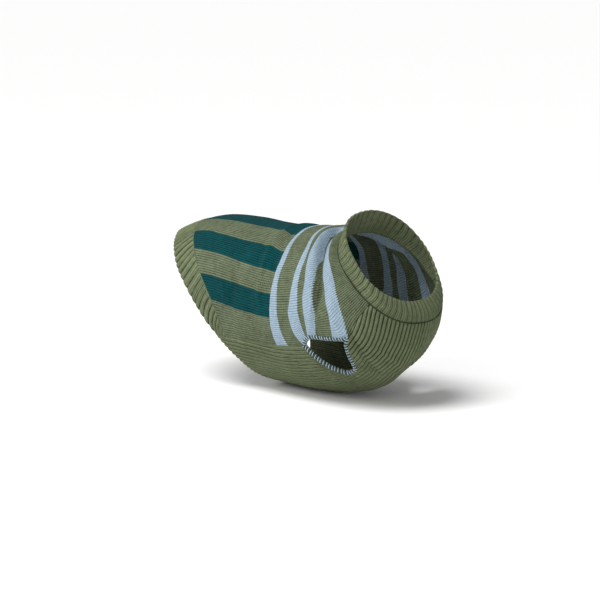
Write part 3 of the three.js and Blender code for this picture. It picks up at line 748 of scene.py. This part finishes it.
def strandSkin(path, radius, sides, closed):  # points round a path in millimetres, an open end drawn to a point
    path = np.asarray(path, float)
    if closed:
        ahead = np.roll(path, -1, 0) - np.roll(path, 1, 0)
        path, ahead = np.vstack([path, path[:1]]), np.vstack([ahead, ahead[:1]])
        sizes = np.full(len(path), radius)
    else:
        ahead = np.gradient(path, axis=0)
        ahead /= np.linalg.norm(ahead, axis=1, keepdims=True)
        tip = 0.5 * radius
        path = np.vstack([path[0] - tip * ahead[0], path, path[-1] + tip * ahead[-1]])
        ahead = np.vstack([ahead[:1], ahead, ahead[-1:]])
        sizes = np.concatenate([[0, 0.75 * radius], np.full(len(path) - 4, radius), [0.75 * radius, 0]])
    tangent = ahead / np.linalg.norm(ahead, axis=1, keepdims=True)
    across = np.cross(tangent, [0.21, 0.34, 0.92])
    across /= np.linalg.norm(across, axis=1, keepdims=True)
    for k in range(1, len(path)):  # carried along without turning
        carried = across[k - 1] - tangent[k] * (across[k - 1] @ tangent[k])
        across[k] = carried / np.linalg.norm(carried)
    if closed:
        across[-1] = across[0]
    third = np.cross(tangent, across)
    turn = 2 * np.pi * (np.arange(sides + 1) % sides) / sides
    round_ = across[:, None] * np.cos(turn)[None, :, None] + third[:, None] * np.sin(turn)[None, :, None]
    lengths = np.concatenate([[0], np.cumsum(np.linalg.norm(np.diff(path, axis=0), axis=1))])
    return path[:, None] + round_ * sizes[:, None, None], lengths


def strandPiece(name, materials, strands, twistsPerMm=0.25):
    bm = bmesh.new()
    layer = bm.loops.layers.uv.new("knitPlace")
    placeOf, slotOf = {}, {}
    for path, radius, sides, slot, closed in strands:
        skin, lengths = strandSkin(path, radius, sides, closed)
        rows = len(skin) - 1
        for vert in bmesh.ops.create_grid(bm, x_segments=sides, y_segments=rows, size=0.5)["verts"]:
            j, k = round((vert.co.x + 0.5) * sides), round((vert.co.y + 0.5) * rows)
            vert.co = skin[k, j] * 0.001
            placeOf[vert], slotOf[vert] = (j / sides, lengths[k] * twistsPerMm), slot
    for face in bm.faces:
        face.smooth = True
        face.material_index = slotOf[face.verts[0]]
        for loop in face.loops:
            loop[layer].uv = placeOf[loop.vert]
    bmesh.ops.remove_doubles(bm, verts=bm.verts, dist=1e-7)
    bmesh.ops.recalc_face_normals(bm, faces=bm.faces)
    mesh = bpy.data.meshes.new(name)
    bm.to_mesh(mesh)
    bm.free()
    for material in materials:
        mesh.materials.append(material)
    piece = bpy.data.objects.new(name, mesh)
    bpy.context.collection.objects.link(piece)
    return piece


edging = {
    "coreRadius": 1.1, "inset": 1.5, "stitchPitch": 1.75, "stitchRadius": 0.62, "lean": 2.2, "loopPoints": 240,
}
stitchRoute = [  # outward over the cloth, off its face, along the edge
    [1.7, 1.3, 0.55], [0.6, 1.75, 0.35], [-0.7, 1.75, 0.15], [-1.9, 1.25, 0.0], [-2.5, 0.0, -0.12],
    [-1.9, -1.3, -0.25], [-0.4, -1.8, -0.4], [1.0, -1.5, -0.5],
]


def armholeLoop(side):
    rings = np.concatenate([np.linspace(armhole["rear"], armhole["front"], 90),
                            np.linspace(armhole["front"], armhole["rear"], 90)[1:-1]])
    upper = np.arange(len(rings)) < 90
    angles = np.where(upper, readTable(backSideEdge, rings), readTable(bellySideEdge, rings))
    points = bodySkin(side * angles, rings, np.full_like(rings, -cloth["wall"] / 2))
    closedPoints = np.vstack([points, points[:1]])
    lengths = np.concatenate([[0], np.cumsum(np.linalg.norm(np.diff(closedPoints, axis=0), axis=1))])
    at = np.linspace(0, lengths[-1], edging["loopPoints"], endpoint=False)
    rings, angles = np.append(rings, rings[0]), np.append(angles, angles[0])
    rings, angles = np.interp(at, lengths, rings), np.interp(at, lengths, angles)
    points = np.column_stack([np.interp(at, lengths, closedPoints[:, k]) for k in range(3)])
    normals = body.faceNormal(side * angles, rings)
    for turn in range(6):
        points = 0.5 * points + 0.25 * (np.roll(points, 1, 0) + np.roll(points, -1, 0))
        normals = 0.5 * normals + 0.25 * (np.roll(normals, 1, 0) + np.roll(normals, -1, 0))
    tangents = np.roll(points, -1, 0) - np.roll(points, 1, 0)
    tangents /= np.linalg.norm(tangents, axis=1, keepdims=True)
    normals -= tangents * (normals * tangents).sum(1, keepdims=True)
    normals /= np.linalg.norm(normals, axis=1, keepdims=True)
    outward = np.cross(tangents, normals)
    middle = points.mean(0)
    if ((points - middle) * outward).sum() < 0:
        outward = -outward
    return points, tangents, normals, outward, lengths[-1]


def edgingStrands(side):
    points, tangents, normals, outward, length = armholeLoop(side)
    strands = [(points - outward * edging["inset"], edging["coreRadius"], 8, 1, True)]
    count = 2 * round(length / edging["stitchPitch"] / 2)
    for stitch in range(count):
        k = int(round(stitch * len(points) / count)) % len(points)
        wobble = 0.14 * math.sin(stitch * 2.4) + 0.12 * math.sin(stitch * 5.1)
        path = [points[k] + outward[k] * (a + wobble) + normals[k] * n + tangents[k] * side * edging["lean"] * t
                for a, n, t in stitchRoute]
        strands.append((path, edging["stitchRadius"] * (1 + 0.4 * wobble), 6, stitch % 2, False))
    return strands


trims = {}
for sideName, side in (("Right", -1), ("Left", 1)):
    trims[sideName] = strandPiece("armholeEdging" + sideName, [blueYarn, greenYarn], edgingStrands(side))
print("sweater: armhole edgings made")

seams = {"neckRadius": 0.7, "radius": 0.45, "lift": -0.7}


def seamStrands():
    lift = seams["lift"]
    angles = np.linspace(-180, 180, 361)[:-1]
    neck = bodySkin(angles, np.full_like(angles, neckRing - 0.001), np.full_like(angles, lift + 0.15))
    sizes = np.linspace(-sideAngle, sideAngle, 320)
    ring = readTable(bandEdge, np.abs(sizes)) - 0.003
    bandSeam = bodySkin(sizes, ring, np.full_like(sizes, lift + 0.1))
    # slot 0, the neck strand, is painted shade: a near-black strand in the seam's groove
    strands = [(neck, seams["neckRadius"], 6, 0, True), (bandSeam, seams["radius"], 6, 1, False)]
    for side in (-1, 1):
        for low, high in ((3.06, armhole["rear"] + 0.03), (armhole["front"] - 0.03, neckRing - 0.04)):
            ring = np.linspace(low, high, 120)
            angle = side * 0.5 * (readTable(backSideEdge, ring) + readTable(bellySideEdge, ring))
            strands.append((bodySkin(angle, ring, np.full_like(ring, lift)), seams["radius"], 6, int(low < 6), False))
    return strands


seamYarn = strandPiece("seamStitching", [paintedNeckSeamShadeYarn, mossYarn], seamStrands())
print("sweater: seams made")

for piece, nodes, slot in (
    (back, ["back_panel"], "moss_knit"),
    (belly, ["belly_panel"], "moss_rib"),
    (band, ["hem_band"], "moss_rib"),
    (collar, ["collar"], "moss_rib"),
    (trims["Right"], ["armhole_trim_right"], "edging_yarn"),
    (trims["Left"], ["armhole_trim_left"], "edging_yarn"),
    (seamYarn, [], "moss_rib"),
):
    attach(piece, "root")
    if nodes:
        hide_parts(*nodes)

studio = {
    "floorHeight": -0.1752,
    "floorColour": (0.9, 0.9, 0.895),
    "floorRadius": 40,
    "ambient": 0.36,
    "overhead": 2.6,
    "overheadSpread": 32,
    "rear": 14,
    "front": 8,
    "azimuth": -45,
    "elevation": 10,
    "distance": 2500,
    "millimetresPerPixel": 1.09,
    "spineRow": 226.2,
    "pictureSize": 600,
    "sensorWidth": 36,
}


def softLight(kind, name, place, aim, size, power):  # size is metres for an area light, degrees for a sun
    light = bpy.data.lights.new(name, kind)
    light.energy = power
    if kind == "AREA":
        light.shape = "DISK"
        light.size = size
    else:
        light.angle = math.radians(size)
    lamp = bpy.data.objects.new(name, light)
    bpy.context.collection.objects.link(lamp)
    lamp.location = place
    lamp.rotation_euler = (Vector(aim) - Vector(place)).to_track_quat("-Z", "Y").to_euler()


def makeStudio():
    bm = bmesh.new()
    bmesh.ops.create_circle(bm, cap_ends=True, segments=96, radius=studio["floorRadius"])
    bmesh.ops.translate(bm, verts=bm.verts, vec=(0, 0, studio["floorHeight"]))
    mesh = bpy.data.meshes.new("studioFloor")
    bm.to_mesh(mesh)
    bm.free()
    floor = bpy.data.objects.new("studioFloor", mesh)
    bpy.context.collection.objects.link(floor)
    n = Nodes("paleFloor")
    shader = n.add("ShaderNodeBsdfPrincipled")
    shader.inputs["Base Color"].default_value = (*studio["floorColour"], 1)
    shader.inputs["Roughness"].default_value = 0.9
    n.join(shader.outputs[0], n.output.inputs[0])
    mesh.materials.append(n.material)
    world = bpy.data.worlds.new("studioWorld")
    world.use_nodes = True
    tree = world.node_tree
    ambient = tree.nodes["Background"]
    ambient.inputs[0].default_value = (1, 1, 1, 1)
    ambient.inputs[1].default_value = studio["ambient"]
    backdrop = tree.nodes.new("ShaderNodeBackground")
    backdrop.inputs[0].default_value = (1, 1, 1, 1)
    backdrop.inputs[1].default_value = 1
    seen = tree.nodes.new("ShaderNodeLightPath")
    either = tree.nodes.new("ShaderNodeMixShader")
    tree.links.new(seen.outputs["Is Camera Ray"], either.inputs[0])
    tree.links.new(ambient.outputs[0], either.inputs[1])
    tree.links.new(backdrop.outputs[0], either.inputs[2])
    tree.links.new(either.outputs[0], tree.nodes["World Output"].inputs[0])
    bpy.context.scene.world = world
    softLight("SUN", "overheadLight", (-0.6, 0.2, 1.5), (0, 0, -0.05),
              studio["overheadSpread"], studio["overhead"])
    softLight("AREA", "rearLight", (-1.5, 0.9, 0.9), (0, 0.05, -0.05), 0.9, studio["rear"])
    softLight("AREA", "frontLight", (-1.9, -0.9, 0.5), (0, -0.05, -0.08), 1.2, studio["front"])


def makeCamera():
    azimuth, elevation = math.radians(studio["azimuth"]), math.radians(studio["elevation"])
    level = math.cos(elevation)
    backward = Vector((math.sin(azimuth) * level, -math.cos(azimuth) * level, math.sin(elevation)))
    right = Vector((math.cos(azimuth), math.sin(azimuth), 0))
    up = backward.cross(right)
    target = up * ((studio["spineRow"] - studio["pictureSize"] / 2) * studio["millimetresPerPixel"])
    camera = bpy.data.objects.new("camera", bpy.data.cameras.new("camera"))
    bpy.context.collection.objects.link(camera)
    camera.data.sensor_width = studio["sensorWidth"]
    pictureWidth = studio["pictureSize"] * studio["millimetresPerPixel"]
    camera.data.lens = studio["sensorWidth"] * studio["distance"] / pictureWidth
    camera.data.clip_start, camera.data.clip_end = 0.05, 50
    camera.location = (target + backward * studio["distance"] - Vector(heldPoint)) * 0.001
    camera.rotation_euler = backward.to_track_quat("Z", "Y").to_euler()
    bpy.context.scene.camera = camera


makeStudio()
makeCamera()
bpy.context.scene.view_settings.view_transform = "Standard"
print("sweater: studio made")
